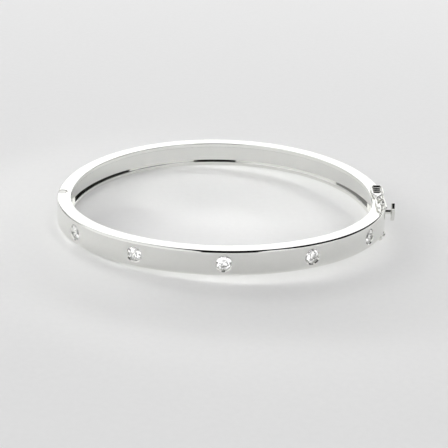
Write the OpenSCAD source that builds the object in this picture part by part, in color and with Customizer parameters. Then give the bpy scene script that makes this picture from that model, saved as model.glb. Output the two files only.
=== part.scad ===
// Hinged oval bangle bracelet with five flush-set brilliants, a folded tongue clasp with a thumb tab
// and two figure-eight safety catches. Millimetres. The band lies flat: +Z is up, +X points at the
// clasp, +Y at the plain back half. The origin is in the middle of the widest line, at mid-height.
// The front half swings open about the hinge pin, and the back half stays.

/* [Band] */
// half of the band's outer width, from the hinge side to the clasp side
half_width = 32; // [31:0.1:33]
// how far the stone-set front reaches from the widest line
front_depth = 25.2; // [24.7:0.1:25.7]
// how far the plain back reaches from the widest line
back_depth = 30.8; // [30.3:0.1:31.3]
// radius of the band's outer face on the front shoulders
front_shoulder_r = 27.7; // [27.4:0.1:28]
// turn of the front's end arcs, in degrees
front_end_turn = 32.5; // [32.3:0.1:32.7]
// turn of the front's shoulder arcs, in degrees
front_shoulder_turn = 29; // [28.8:0.1:29.2]
// radius of the band's outer face on the back shoulders
back_shoulder_r = 31.4; // [31:0.1:31.8]
// turn of the back's end arcs, in degrees
back_end_turn = 30; // [29:0.1:31]
// turn of the back's shoulder arcs, in degrees
back_shoulder_turn = 31; // [30:0.1:32]
// height of the band, from edge to edge
band_h = 4.9; // [4.8:0.05:5.4]
// thickness of the band, from the outer face to the wrist
band_t = 2.75; // [2.75:0.05:3]
// rounding of the band's two outer long edges
edge_r = 0.45; // [0.3:0.05:0.5]
// rounding of the band's two inner long edges
inner_edge_r = 0.12; // [0.06:0.01:0.2]
// thickness of the outer wall
wall_t = 0.8; // [0.75:0.01:0.85]
// thickness of the top and bottom walls, which are the two lips seen from inside
lip_t = 0.85; // [0.8:0.01:0.9]
// rounding of the lips beside the liner
lip_r = 0.2; // [0.1:0.01:0.25]
// thickness of the inner skin
liner_t = 0.3; // [0.28:0.01:0.32]
// how far the inner skin is set back from the lips
liner_recess = 0.6; // [0.55:0.01:0.62]
// gap between the two halves at each joint
seam_gap = 0.06; // [0.06:0.01:0.15]

/* [Stones] */
// radius of a stone's girdle
stone_r = 1.42; // [1.3:0.01:1.45]
// distance along the band's face from the centre stone to the next
stone_pitch_inner = 16.8; // [16:0.1:17.5]
// distance along the band's face from the centre stone to the outermost
stone_pitch_outer = 31.6; // [30:0.1:32.5]
// depth of a stone's table below the band's face
table_depth = 0.07; // [0.04:0.01:0.1]
// width of the table as a share of the stone's width
table_share = 0.57; // [0.52:0.01:0.62]
// slope of the crown, in degrees
crown_slope = 34; // [32:0.5:35]
// slope of the pavilion, in degrees
pavilion_slope = 40.75; // [40:0.25:41.5]
// thickness of the girdle
girdle_t = 0.06; // [0.04:0.01:0.08]
// gap between a stone and its seat
seat_clearance = 0.02; // [0.01:0.01:0.03]

/* [Hinge] */
// how far the joint at the hinge lies behind the widest line
hinge_y = 1; // [0.5:0.1:2]
// distance from the band's outer face to the hinge pin
hinge_inset = 0.95; // [0.93:0.01:0.97]
// radius of a hinge knuckle
knuckle_r = 0.85; // [0.8:0.01:0.86]
// height of the middle knuckle
knuckle_mid_h = 1.6; // [1.4:0.1:1.8]
// gap between two knuckles, end to end
knuckle_gap = 0.05; // [0.03:0.01:0.08]
// chamfer on a knuckle's outer end
knuckle_chamfer = 0.12; // [0.08:0.01:0.15]
// radius of the hinge pin
pin_r = 0.35; // [0.3:0.01:0.4]
// radial clearance of the pin in the middle knuckle
pin_clearance = 0.04; // [0.02:0.01:0.06]
// clearance round a knuckle that turns in the other half
knuckle_clearance = 0.15; // [0.12:0.01:0.2]
// half-angle of the relief that lets the outer faces swing past each other
relief_half_angle = 27; // [26:0.5:30]
// length of a hinge leaf inside the band
hinge_leaf_l = 3; // [2:0.1:5]

/* [Clasp] */
// how far the joint at the clasp lies in front of the widest line
clasp_y = -2.2; // [-2.4:0.1:-2]
// distance of the tongue's fold behind the widest line
fold_y = 3.2; // [3:0.1:3.5]
// thickness of the tongue's two leaves
leaf_t = 0.2; // [0.16:0.01:0.22]
// height of the tongue
tongue_h = 2.3; // [2.1:0.1:2.4]
// clearance between the sprung leaf and the outer wall
leaf_clearance = 0.15; // [0.12:0.01:0.18]
// outer radius of the tongue's fold
fold_r = 0.4; // [0.38:0.01:0.42]
// gap between the fold and the end of the fixed leaf
fold_gap = 0.05; // [0.04:0.01:0.08]
// distance of the sprung leaf's free end behind the joint
leaf_setback = 0.6; // [0.5:0.05:0.7]
// length of the block that holds the tongue
tongue_block_l = 3; // [2:0.1:5]
// length of the clasp box inside the band
clasp_box_l = 7; // [6.6:0.1:9]
// thickness of the clasp box's end wall
clasp_box_end_t = 0.5; // [0.3:0.05:0.8]
// clearance above and below the tongue in the clasp box
tongue_clearance = 0.2; // [0.15:0.01:0.25]

/* [Thumb tab] */
// distance of the tab's stem in front of the widest line
tab_y = -0.9; // [-1:0.05:-0.8]
// radius of the tab's stem
tab_stem_r = 0.45; // [0.4:0.01:0.5]
// clearance round the stem in its slot
tab_slot_clearance = 0.2; // [0.15:0.01:0.25]
// distance from the band's face to the tab's pad
tab_standoff = 1.05; // [0.9:0.05:1.3]
// thickness of the pad
tab_pad_t = 0.7; // [0.5:0.05:0.9]
// height of the oval pad
tab_pad_h = 3.7; // [3.2:0.1:3.9]
// length of the oval pad along the band
tab_pad_l = 2; // [1.6:0.1:2.2]

/* [Safety catches] */
// distance of both catches' centre line from the middle of the band
catch_x = 30.65; // [30.5:0.05:30.8]
// distance of the catch's pivot behind the widest line
catch_pivot_y = 4.6; // [4.3:0.1:4.9]
// distance of the stud in front of the widest line
stud_y = -5.2; // [-5.4:0.1:-5]
// radius of the catch's wire
wire_r = 0.22; // [0.2:0.01:0.24]
// radial clearance of the wire in its tube
tube_clearance = 0.05; // [0.03:0.01:0.08]
// outer radius of the tube
tube_r = 0.42; // [0.4:0.01:0.46]
// length of the tube
tube_l = 1.5; // [1.3:0.1:1.6]
// radius of the wire's bends just outside the tube's ends
tube_bend_r = 0.3; // [0.26:0.01:0.35]
// half-width of the loop that closes round the stud, to the wire's centre
loop_half_w = 0.84; // [0.82:0.01:0.9]
// how far a wire moves sideways in the waist, for each millimetre along the catch
waist_rise = 0.75; // [0.6:0.05:0.9]
// radius of the bends beside the waist
waist_bend_r = 1.5; // [1.2:0.1:1.8]
// how far one wire lies above the other, where they cross
wire_step = 0.04; // [0.02:0.01:0.06]
// radius of the stud's post
post_r = 0.22; // [0.2:0.01:0.24]
// radius of the stud's ball
ball_r = 0.5; // [0.45:0.01:0.52]
// clearance beside the post in the slit at the loop's tip
slit_clearance = 0.1; // [0.08:0.01:0.14]
// clearance between the loop and the ball above it
ball_clearance = 0.06; // [0.04:0.01:0.1]

/* [Hidden] */
$fn = 96;

// a length that reaches clear of everything
far = 50;
// a small amount by which a cutting tool runs past the face it cuts
past = 0.1;
// turn by which a shoulder arc laps its neighbours, in degrees
lap = 0.01;
half_h = band_h / 2;
channel_half_h = half_h - lip_t;
liner_outer_d = band_t - liner_recess - liner_t;

// The band's outline is made of tangent arcs. In each quarter an end arc starts at the widest line,
// a shoulder arc follows it, and a centre arc finishes on the middle line. The end and centre radii
// follow from the half-width and the depth.
function quarter_det(e, s) = (1 - cos(e)) * (1 - sin(e + s)) - cos(e + s) * sin(e);
function rest_x(r, e, s) = half_width - r * (cos(e) - cos(e + s));
function rest_y(depth, r, e, s) = depth - r * (sin(e + s) - sin(e));
function end_radius(depth, r, e, s) =
    (rest_x(r, e, s) * (1 - sin(e + s)) - cos(e + s) * rest_y(depth, r, e, s)) / quarter_det(e, s);
function centre_radius(depth, r, e, s) =
    ((1 - cos(e)) * rest_y(depth, r, e, s) - sin(e) * rest_x(r, e, s)) / quarter_det(e, s);

front_end_r = end_radius(front_depth, front_shoulder_r, front_end_turn, front_shoulder_turn);
front_centre_r = centre_radius(front_depth, front_shoulder_r, front_end_turn, front_shoulder_turn);
back_end_r = end_radius(back_depth, back_shoulder_r, back_end_turn, back_shoulder_turn);
back_centre_r = centre_radius(back_depth, back_shoulder_r, back_end_turn, back_shoulder_turn);

// centre of the shoulder arc of the quarter on the +X, +Y side
function shoulder_centre(end_r, r, e) =
    [half_width - end_r + (end_r - r) * cos(e), (end_r - r) * sin(e)];

// x of the outer face on the back's end arc, and on the front's
function back_face_x(y) = half_width - back_end_r + sqrt(back_end_r * back_end_r - y * y);
function front_face_x(y) = half_width - front_end_r + sqrt(front_end_r * front_end_r - y * y);

hinge_x = hinge_inset - back_face_x(hinge_y);
knuckle_outer_z = knuckle_mid_h / 2 + knuckle_gap;
tab_x = front_face_x(tab_y);
leaf_outer_d = wall_t + leaf_clearance;
fold_x = back_face_x(fold_y) - leaf_outer_d - fold_r;
wire_z = half_h + tube_r;
leg_half_w = tube_l / 2 + tube_bend_r;
loop_l = catch_pivot_y - stud_y;
waist_slope = atan(waist_rise);
waist_l = 2 * waist_bend_r * sin(waist_slope)
    + (leg_half_w + loop_half_w - 2 * waist_bend_r * (1 - cos(waist_slope))) / waist_rise;
leg_l = (loop_l - waist_l) / 2;
ball_z = wire_z + wire_r + ball_clearance + ball_r;
// the stud leaves the loop along the hinge's arc, so the slit at the tip is turned to that line
slit_turn = atan2(hinge_y - stud_y, catch_x - hinge_x);
slit_half_angle = asin((post_r + wire_r + slit_clearance) / loop_half_w);

crown_h = stone_r * (1 - table_share) * tan(crown_slope);
pavilion_h = stone_r * tan(pavilion_slope);
girdle_d = table_depth + crown_h;

// ---------- cross-sections: x runs inward from the outer face, y is the height ----------

// points round a corner, from the start angle through a quarter turn
corner_steps = 5;
function corner(x, y, r, start) =
    [for (i = [0:corner_steps])
        [x + r * cos(start + i * 90 / corner_steps), y + r * sin(start + i * 90 / corner_steps)]];

module shell_section() {
    inner = band_t - inner_edge_r;
    lip = band_t - lip_r;
    edge = half_h - edge_r;
    inner_edge = half_h - inner_edge_r;
    polygon(concat(
        corner(edge_r, -edge, edge_r, 180),
        corner(inner, -inner_edge, inner_edge_r, 270),
        corner(lip, -channel_half_h - lip_r, lip_r, 0),
        [[wall_t, -channel_half_h], [wall_t, channel_half_h]],
        corner(lip, channel_half_h + lip_r, lip_r, 270),
        corner(inner, inner_edge, inner_edge_r, 0),
        corner(edge_r, edge, edge_r, 90)));
}

module hollow_section() {
    translate([wall_t, -channel_half_h]) square([liner_outer_d - wall_t, 2 * channel_half_h]);
}

module box_section() {
    half = tongue_h / 2 + tongue_clearance;
    translate([wall_t, -half]) square([liner_outer_d - wall_t, 2 * half]);
}

module sprung_leaf_section() {
    translate([leaf_outer_d, -tongue_h / 2]) square([leaf_t, tongue_h]);
}

module fixed_leaf_section() {
    translate([leaf_outer_d + 2 * fold_r - leaf_t, -tongue_h / 2]) square([leaf_t, tongue_h]);
}

// ---------- sweeps along the band ----------

// one arc of the band: the section in child 0 is turned about a centre, its outer face at radius r
module band_arc(centre, r, start, turn) {
    translate([centre[0], centre[1], 0]) rotate([0, 0, start])
        rotate_extrude(angle = turn) translate([r, 0]) mirror([1, 0]) children();
}

// the shoulder arc that follows an end arc of turn e; it laps its neighbours a little, to join them
module shoulder_arc(end_r, r, e, s) {
    band_arc(shoulder_centre(end_r, r, e), r, e - lap, s + 2 * lap) children();
}

module back_arcs() {
    e = back_end_turn;
    s = back_shoulder_turn;
    for (side = [0, 1])
        mirror([side, 0, 0]) {
            band_arc([half_width - back_end_r, 0], back_end_r, 0, e) children();
            shoulder_arc(back_end_r, back_shoulder_r, e, s) children();
        }
    band_arc([0, back_depth - back_centre_r], back_centre_r, e + s, 180 - 2 * (e + s)) children();
}

module front_arcs() {
    e = front_end_turn;
    s = front_shoulder_turn;
    for (side = [0, 1])
        mirror([side, 0, 0]) mirror([0, 1, 0]) {
            band_arc([half_width - front_end_r, 0], front_end_r, 0, e) children();
            shoulder_arc(front_end_r, front_shoulder_r, e, s) children();
        }
    mirror([0, 1, 0])
        band_arc([0, front_depth - front_centre_r], front_centre_r, e + s, 180 - 2 * (e + s))
            children();
}

module whole_band() {
    back_arcs() children();
    front_arcs() children();
}

// a block that covers one side of the band, from y0 to y1; side is 1 at the clasp, -1 at the hinge
module side_block(side, y0, y1) {
    translate([side > 0 ? 0 : -far, y0, -far]) cube([far, y1 - y0, 2 * far]);
}

module front_zone() {
    side_block(1, -far, clasp_y - seam_gap / 2);
    side_block(-1, -far, hinge_y - seam_gap / 2);
}

module back_zone() {
    side_block(1, clasp_y + seam_gap / 2, far);
    side_block(-1, hinge_y + seam_gap / 2, far);
}

// a length of the band next to the hinge or the clasp, with the section in child 0
module end_piece(side, y0, y1) {
    intersection() {
        whole_band() children();
        side_block(side, y0, y1);
    }
}

// ---------- hinge ----------

module at_hinge() {
    translate([hinge_x, hinge_y, 0]) children();
}

// the two outer knuckles' space when outer is true, or the middle knuckle's, at radius r
module knuckle_space(outer, r) {
    at_hinge()
        if (outer) {
            for (side = [0, 1])
                mirror([0, 0, side]) translate([0, 0, knuckle_mid_h / 2]) cylinder(r = r, h = far);
        } else {
            cylinder(r = r, h = 2 * knuckle_outer_z, center = true);
        }
}

module relief_wedge() {
    reach = hinge_inset + 1;
    rise = reach * tan(relief_half_angle);
    at_hinge() translate([0, 0, -far]) linear_extrude(height = 2 * far)
        polygon([[0, 0], [-reach, rise], [-reach, -rise]]);
}

module outer_knuckle() {
    straight_h = half_h - knuckle_outer_z - knuckle_chamfer;
    translate([0, 0, knuckle_outer_z]) cylinder(r = knuckle_r, h = straight_h);
    translate([0, 0, half_h - knuckle_chamfer])
        cylinder(r1 = knuckle_r, r2 = knuckle_r - knuckle_chamfer, h = knuckle_chamfer);
}

module hinge_leaf_front() {
    color("silver") difference() {
        union() {
            difference() {
                end_piece(-1, hinge_y - hinge_leaf_l, hinge_y - seam_gap / 2) hollow_section();
                knuckle_space(false, knuckle_r + knuckle_clearance);
                relief_wedge();
            }
            at_hinge()
                for (side = [0, 1])
                    mirror([0, 0, side]) outer_knuckle();
        }
        at_hinge() cylinder(r = pin_r, h = 2 * far, center = true);
    }
}

module hinge_leaf_back() {
    color("silver") difference() {
        union() {
            difference() {
                end_piece(-1, hinge_y + seam_gap / 2, hinge_y + hinge_leaf_l) hollow_section();
                knuckle_space(true, knuckle_r + knuckle_clearance);
                relief_wedge();
            }
            at_hinge() cylinder(r = knuckle_r, h = knuckle_mid_h, center = true);
        }
        at_hinge() cylinder(r = pin_r + pin_clearance, h = 2 * far, center = true);
    }
}

module hinge_pin() {
    color("silver") at_hinge() cylinder(r = pin_r, h = band_h, center = true);
}

// ---------- stones and their seats ----------

front_centre_turn = 90 - front_end_turn - front_shoulder_turn;
front_centre_l = front_centre_r * front_centre_turn * PI / 180;
front_shoulder_c = shoulder_centre(front_end_r, front_shoulder_r, front_end_turn);

// turn of the outward normal away from -Y, at distance s along the front's outer face
function face_turn(s) = s <= front_centre_l
    ? s / front_centre_r * 180 / PI
    : front_centre_turn + (s - front_centre_l) / front_shoulder_r * 180 / PI;

// centre of the arc that the point at distance s lies on
function face_centre(s) = s <= front_centre_l
    ? [0, front_centre_r - front_depth]
    : [front_shoulder_c[0], -front_shoulder_c[1]];

function face_radius(s) = s <= front_centre_l ? front_centre_r : front_shoulder_r;

// puts its children on the outer face, their +Z along the outward normal; s is negative to the left
module on_face(s) {
    side = s < 0 ? 1 : 0;
    c = face_centre(abs(s));
    mirror([side, 0, 0]) translate([c[0], c[1], 0]) rotate([0, 0, face_turn(abs(s))])
        translate([0, -face_radius(abs(s)), 0]) rotate([90, 0, 0]) children();
}

// a straight wall down past the girdle, and a cone for the pavilion
module stone_seat() {
    seat_r = stone_r + seat_clearance;
    floor_d = girdle_d + girdle_t + seat_clearance;
    translate([0, 0, -floor_d]) cylinder(r = seat_r, h = floor_d + past);
    translate([0, 0, -floor_d - pavilion_h]) cylinder(r1 = 0, r2 = seat_r, h = pavilion_h);
}

// A brilliant cut. Rings of corners from the table down to the culet, eight-fold.
step = 45;
star_r = 0.78 * stone_r;
lower_r = 0.22 * stone_r;
table_r = table_share * stone_r;
crown_z = -table_depth;
girdle_top_z = -girdle_d;
girdle_low_z = -girdle_d - girdle_t;
culet_z = girdle_low_z - pavilion_h;
// heights at which the star and lower-girdle corners lie in the planes of the main facets
star_z = crown_z
    - (star_r * cos(step / 2) - table_r) / (stone_r - table_r) * (crown_z - girdle_top_z);
lower_z = girdle_low_z - (1 - lower_r * cos(step / 2) / stone_r) * pavilion_h;

function ring(r, z, count, first) =
    [for (i = [0:count - 1]) [r * cos(first + i * 360 / count), r * sin(first + i * 360 / count), z]];

stone_points = concat(
    ring(table_r, crown_z, 8, 0),
    ring(star_r, star_z, 8, step / 2),
    ring(stone_r, girdle_top_z, 16, 0),
    ring(stone_r, girdle_low_z, 16, 0),
    ring(lower_r, lower_z, 8, step / 2),
    [[0, 0, culet_z]]);
// where each ring starts in the list of points
star_0 = 8;
top_0 = 16;
low_0 = 32;
pav_0 = 48;
culet = 56;

stone_faces = concat(
    [[for (i = [7:-1:0]) i]],
    [for (i = [0:7]) [i, (i + 1) % 8, star_0 + i]],
    [for (i = [0:7]) [i, star_0 + i, top_0 + 2 * i, star_0 + (i + 7) % 8]],
    [for (i = [0:7]) [star_0 + i, top_0 + 2 * i + 1, top_0 + 2 * i]],
    [for (i = [0:7]) [star_0 + i, top_0 + (2 * i + 2) % 16, top_0 + 2 * i + 1]],
    [for (i = [0:15]) [top_0 + i, top_0 + (i + 1) % 16, low_0 + (i + 1) % 16, low_0 + i]],
    [for (i = [0:7]) [pav_0 + i, low_0 + 2 * i, low_0 + 2 * i + 1]],
    [for (i = [0:7]) [pav_0 + i, low_0 + 2 * i + 1, low_0 + (2 * i + 2) % 16]],
    [for (i = [0:7]) [low_0 + 2 * i, pav_0 + i, culet, pav_0 + (i + 7) % 8]]);

module stone(s) {
    color("white") on_face(s) polyhedron(points = stone_points, faces = stone_faces);
}

module stone_far_left() { stone(-stone_pitch_outer); }
module stone_left() { stone(-stone_pitch_inner); }
module stone_centre() { stone(0); }
module stone_right() { stone(stone_pitch_inner); }
module stone_far_right() { stone(stone_pitch_outer); }

// ---------- band halves ----------

module front_shell() {
    color("silver") difference() {
        intersection() {
            whole_band() shell_section();
            front_zone();
        }
        knuckle_space(true, knuckle_r);
        knuckle_space(false, knuckle_r + knuckle_clearance);
        relief_wedge();
        for (s = [-stone_pitch_outer, -stone_pitch_inner, 0, stone_pitch_inner, stone_pitch_outer])
            on_face(s) stone_seat();
    }
}

module back_shell() {
    color("silver") difference() {
        intersection() {
            whole_band() shell_section();
            back_zone();
        }
        knuckle_space(true, knuckle_r + knuckle_clearance);
        knuckle_space(false, knuckle_r);
        relief_wedge();
        tab_slot();
    }
}

// the slot in the outer wall that the thumb tab's stem slides in through, open at the joint
module tab_slot() {
    half = tab_stem_r + tab_slot_clearance;
    translate([half_width - band_t, 0, 0]) rotate([0, 90, 0])
        translate([0, tab_y, 0]) cylinder(r = half, h = far);
    translate([half_width - band_t, clasp_y - 1, -half]) cube([far, tab_y - clasp_y + 1, 2 * half]);
}

// Points of a quarter of the band's outline at depth d under the outer face, one for each of
// outline_steps turns of the normal, from the widest line to the middle line. The quarter is the one
// on the +X, +Y side.
outline_steps = 45;
function quarter_point(a, d, depth, end_r, r, centre_r, e, s) =
    a <= e ? [half_width - end_r, 0] + (end_r - d) * [cos(a), sin(a)]
    : a <= e + s ? shoulder_centre(end_r, r, e) + (r - d) * [cos(a), sin(a)]
    : [0, depth - centre_r] + (centre_r - d) * [cos(a), sin(a)];
function back_point(a, d) = quarter_point(a, d, back_depth, back_end_r, back_shoulder_r,
    back_centre_r, back_end_turn, back_shoulder_turn);
function front_point(a, d) = quarter_point(a, d, front_depth, front_end_r, front_shoulder_r,
    front_centre_r, front_end_turn, front_shoulder_turn);
function outline(d) = concat(
    [for (i = [0:outline_steps]) back_point(i * 90 / outline_steps, d)],
    [for (i = [outline_steps - 1:-1:0])
        let (p = back_point(i * 90 / outline_steps, d)) [-p[0], p[1]]],
    [for (i = [1:outline_steps]) -front_point(i * 90 / outline_steps, d)],
    [for (i = [outline_steps - 1:-1:1])
        let (p = front_point(i * 90 / outline_steps, d)) [p[0], -p[1]]]);

module whole_liner() {
    translate([0, 0, -channel_half_h]) linear_extrude(height = 2 * channel_half_h) difference() {
        polygon(outline(liner_outer_d));
        polygon(outline(liner_outer_d + liner_t));
    }
}

module front_liner() {
    color("silver") intersection() {
        whole_liner();
        front_zone();
    }
}

module back_liner() {
    color("silver") intersection() {
        whole_liner();
        back_zone();
    }
}

// ---------- clasp ----------

module clasp_box() {
    end_y = clasp_y + clasp_box_l;
    color("silver") difference() {
        end_piece(1, clasp_y + seam_gap / 2, end_y) hollow_section();
        end_piece(1, clasp_y - 1, end_y - clasp_box_end_t) box_section();
    }
}

module tongue_block() {
    color("silver")
        end_piece(1, clasp_y - tongue_block_l, clasp_y - seam_gap / 2) hollow_section();
}

module tongue() {
    color("silver")
        end_piece(1, clasp_y - seam_gap / 2, fold_y - fold_gap) fixed_leaf_section();
}

module tab_stem(r) {
    translate([0, tab_y, 0]) rotate([0, 90, 0]) cylinder(r = r, h = far);
}

module spring_leaf() {
    color("silver") difference() {
        union() {
            end_piece(1, clasp_y + leaf_setback, fold_y) sprung_leaf_section();
            translate([fold_x, fold_y, 0]) rotate_extrude(angle = 180)
                translate([fold_r - leaf_t, -tongue_h / 2]) square([leaf_t, tongue_h]);
        }
        tab_stem(tab_stem_r);
    }
}

module thumb_tab() {
    inner_x = tab_x - leaf_outer_d - leaf_t;
    pad_x = tab_x + tab_standoff;
    color("silver") {
        translate([inner_x, tab_y, 0]) rotate([0, 90, 0])
            cylinder(r = tab_stem_r, h = pad_x - inner_x + tab_pad_t / 2);
        translate([pad_x, tab_y, 0]) rotate([90, 0, 90]) scale([tab_pad_l / tab_pad_h, 1, 1])
            cylinder(r = tab_pad_h / 2, h = tab_pad_t);
    }
}

// ---------- safety catches: drawn on the top edge, and mirrored for the bottom edge ----------

module catch_tube() {
    color("silver") translate([catch_x, catch_pivot_y, 0]) difference() {
        union() {
            translate([-tube_l / 2, 0, wire_z]) rotate([0, 90, 0]) cylinder(r = tube_r, h = tube_l);
            translate([-tube_l / 2, -tube_r, half_h]) cube([tube_l, 2 * tube_r, tube_r]);
        }
        translate([-far, 0, wire_z]) rotate([0, 90, 0])
            cylinder(r = wire_r + tube_clearance, h = 2 * far);
    }
}

module catch_stud() {
    color("silver") translate([catch_x, stud_y, 0]) {
        translate([0, 0, half_h]) cylinder(r = post_r, h = ball_z - half_h);
        translate([0, 0, ball_z]) sphere(r = ball_r);
    }
}

// a straight wire of length l along -Y from a point in the catch's plane, turned by the angle
module wire_bar(x, y, angle, l) {
    translate([x, y, 0]) rotate([0, 0, angle]) rotate([90, 0, 0]) cylinder(r = wire_r, h = l);
}

module wire_bend(x, y, r, start, turn) {
    translate([x, y, 0]) rotate([0, 0, start])
        rotate_extrude(angle = turn) translate([r, 0]) circle(r = wire_r);
}

// one of the two wires: down the +X leg, across the waist, down the -X leg and round the tip
module catch_wire(tip_half_angle) {
    r = waist_bend_r;
    a = waist_slope;
    cross_l = (waist_l - 2 * r * sin(a)) / cos(a);
    wire_bend(tube_l / 2, -tube_bend_r, tube_bend_r, 0, 90);
    wire_bar(leg_half_w, -tube_bend_r, 0, leg_l - tube_bend_r);
    wire_bend(leg_half_w - r, -leg_l, r, -a, a);
    wire_bar(leg_half_w - r * (1 - cos(a)), -leg_l - r * sin(a), -a, cross_l);
    wire_bend(r - loop_half_w, leg_l - loop_l, r, 180 - a, a);
    wire_bar(-loop_half_w, leg_l - loop_l, 0, leg_l);
    wire_bend(0, -loop_l, loop_half_w, 180, 90 - tip_half_angle);
}

module figure_eight() {
    color("silver") translate([catch_x, catch_pivot_y, wire_z]) {
        translate([-tube_l / 2, 0, 0]) rotate([0, 90, 0]) cylinder(r = wire_r, h = tube_l);
        translate([0, 0, wire_step / 2]) catch_wire(slit_half_angle + slit_turn);
        translate([0, 0, -wire_step / 2]) mirror([1, 0, 0]) catch_wire(slit_half_angle - slit_turn);
    }
}

module upper_catch_tube() { catch_tube(); }
module lower_catch_tube() { mirror([0, 0, 1]) catch_tube(); }
module upper_catch_stud() { catch_stud(); }
module lower_catch_stud() { mirror([0, 0, 1]) catch_stud(); }
module upper_catch() { figure_eight(); }
module lower_catch() { mirror([0, 0, 1]) figure_eight(); }

back_shell();
back_liner();
hinge_leaf_back();
clasp_box();
upper_catch_tube();
lower_catch_tube();
front_shell();
front_liner();
hinge_leaf_front();
hinge_pin();
stone_far_left();
stone_left();
stone_centre();
stone_right();
stone_far_right();
tongue_block();
tongue();
upper_catch_stud();
lower_catch_stud();
spring_leaf();
thumb_tab();
upper_catch();
lower_catch();
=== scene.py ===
import math

import bmesh
import bpy
import numpy as np
from mathutils import Matrix, Vector


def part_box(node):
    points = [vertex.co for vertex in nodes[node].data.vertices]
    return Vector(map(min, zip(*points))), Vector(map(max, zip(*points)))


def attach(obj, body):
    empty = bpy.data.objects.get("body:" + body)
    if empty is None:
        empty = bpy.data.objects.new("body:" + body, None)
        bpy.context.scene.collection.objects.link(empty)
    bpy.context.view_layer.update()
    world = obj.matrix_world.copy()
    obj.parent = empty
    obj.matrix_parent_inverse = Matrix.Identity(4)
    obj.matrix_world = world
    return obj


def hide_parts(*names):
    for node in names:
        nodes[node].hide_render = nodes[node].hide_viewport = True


MM = 0.001
# a lathe's Z becomes X
AXIS_TO_X = Matrix.Rotation(math.pi / 2, 4, "Y")
# a prism's x, y, z become Y, Z, X
UPRIGHT_TO_X = Matrix(((0, 0, 1, 0), (1, 0, 0, 0), (0, 1, 0, 0), (0, 0, 0, 1)))

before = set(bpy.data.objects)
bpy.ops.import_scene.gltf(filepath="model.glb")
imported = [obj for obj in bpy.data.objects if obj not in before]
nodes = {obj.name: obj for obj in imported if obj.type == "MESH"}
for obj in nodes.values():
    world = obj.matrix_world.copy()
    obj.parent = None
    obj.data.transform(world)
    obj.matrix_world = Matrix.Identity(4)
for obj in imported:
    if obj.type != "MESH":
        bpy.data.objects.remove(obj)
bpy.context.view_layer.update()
scene = bpy.context.scene


# ---------- sizes, from the frame and from the band's driving dimensions ----------

shell_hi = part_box("back_shell")[1]
front_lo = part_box("front_shell")[0]
liner_lo, liner_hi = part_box("front_liner")
HALF_W = shell_hi.x
BACK_D = shell_hi.y
FRONT_D = -front_lo.y
HALF_H = shell_hi.z
CHANNEL_H = liner_hi.z
LINER_D0 = FRONT_D + liner_lo.y          # depth of the inner skin's hidden face
BAND_T = 2.75 * MM
EDGE_R = 0.45 * MM                       # rounding of the outer long edges
INNER_R = 0.12 * MM                      # rounding of the inner long edges
LIP_R = 0.2 * MM                         # rounding of the channel's lips
WALL_T = 0.8 * MM                        # the shell's outer wall
WALL_STRIPS = 7                          # flat strips up the outer wall
SWEEP_STEP = 1                           # degrees between the sweep's sections
LINER_D1 = LINER_D0 + 0.3 * MM           # depth of the inner skin's seen face
STONES = ["stone_far_left", "stone_left", "stone_centre", "stone_right", "stone_far_right"]


def quarter(depth, shoulder_r, end_turn, shoulder_turn):
    """The three tangent arcs of a quarter of the outline: end, shoulder and centre."""
    turned = end_turn + shoulder_turn
    ce, se = math.cos(end_turn), math.sin(end_turn)
    ct, st = math.cos(turned), math.sin(turned)
    rx = HALF_W - shoulder_r * (ce - ct)
    ry = depth - shoulder_r * (st - se)
    det = (1 - ce) * (1 - st) - ct * se
    end_r = (rx * (1 - st) - ct * ry) / det
    centre_r = ((1 - ce) * ry - se * rx) / det
    end_c = (HALF_W - end_r, 0.0)
    shoulder_c = (end_c[0] + (end_r - shoulder_r) * ce, (end_r - shoulder_r) * se)
    centre_c = (0.0, depth - centre_r)
    return {"turns": (end_turn, turned),
            "arcs": [(end_c, end_r), (shoulder_c, shoulder_r), (centre_c, centre_r)]}


# the same shoulders as in the CAD
BACK = quarter(BACK_D, 31.4 * MM, math.radians(30), math.radians(31))
FRONT = quarter(FRONT_D, 27.7 * MM, math.radians(32.5), math.radians(29))


def outline(angle, d):
    """Point of the outline at depth d whose outward normal has this angle (radians, 0 is +X)."""
    c, s = math.cos(angle), math.sin(angle)
    q = BACK if s >= 0 else FRONT
    a = math.atan2(abs(s), abs(c))
    k = 0 if a <= q["turns"][0] + 1e-9 else 1 if a <= q["turns"][1] + 1e-9 else 2
    (cx, cy), r = q["arcs"][k]
    x, y = cx + (r - d) * abs(c), cy + (r - d) * abs(s)
    return math.copysign(1, c) * x, math.copysign(1, s) * y


def locate(x, y):
    """(outward normal angle, depth) of a point near the band, as arrays."""
    x, y = np.asarray(x, float), np.asarray(y, float)
    ax, ay = np.abs(x), np.abs(y)
    angle, depth = np.zeros_like(x), np.zeros_like(x)
    for q, mine in ((BACK, y >= 0), (FRONT, y < 0)):
        (c0, r0), (c1, r1), (c2, r2) = q["arcs"]
        a0 = np.arctan2(ay - c0[1], ax - c0[0])
        a1 = np.arctan2(ay - c1[1], ax - c1[0])
        a2 = np.arctan2(ay - c2[1], ax - c2[0])
        end, centre = a0 <= q["turns"][0], a2 >= q["turns"][1]
        a = np.where(end, a0, np.where(centre, a2, a1))
        cx = np.where(end, c0[0], np.where(centre, c2[0], c1[0]))
        cy = np.where(end, c0[1], np.where(centre, c2[1], c1[1]))
        r = np.where(end, r0, np.where(centre, r2, r1))
        angle = np.where(mine, a, angle)
        depth = np.where(mine, r - np.hypot(ax - cx, ay - cy), depth)
    nx, ny = np.sign(x) * np.cos(angle), np.sign(y) * np.sin(angle)
    return np.arctan2(ny, nx), depth


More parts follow.
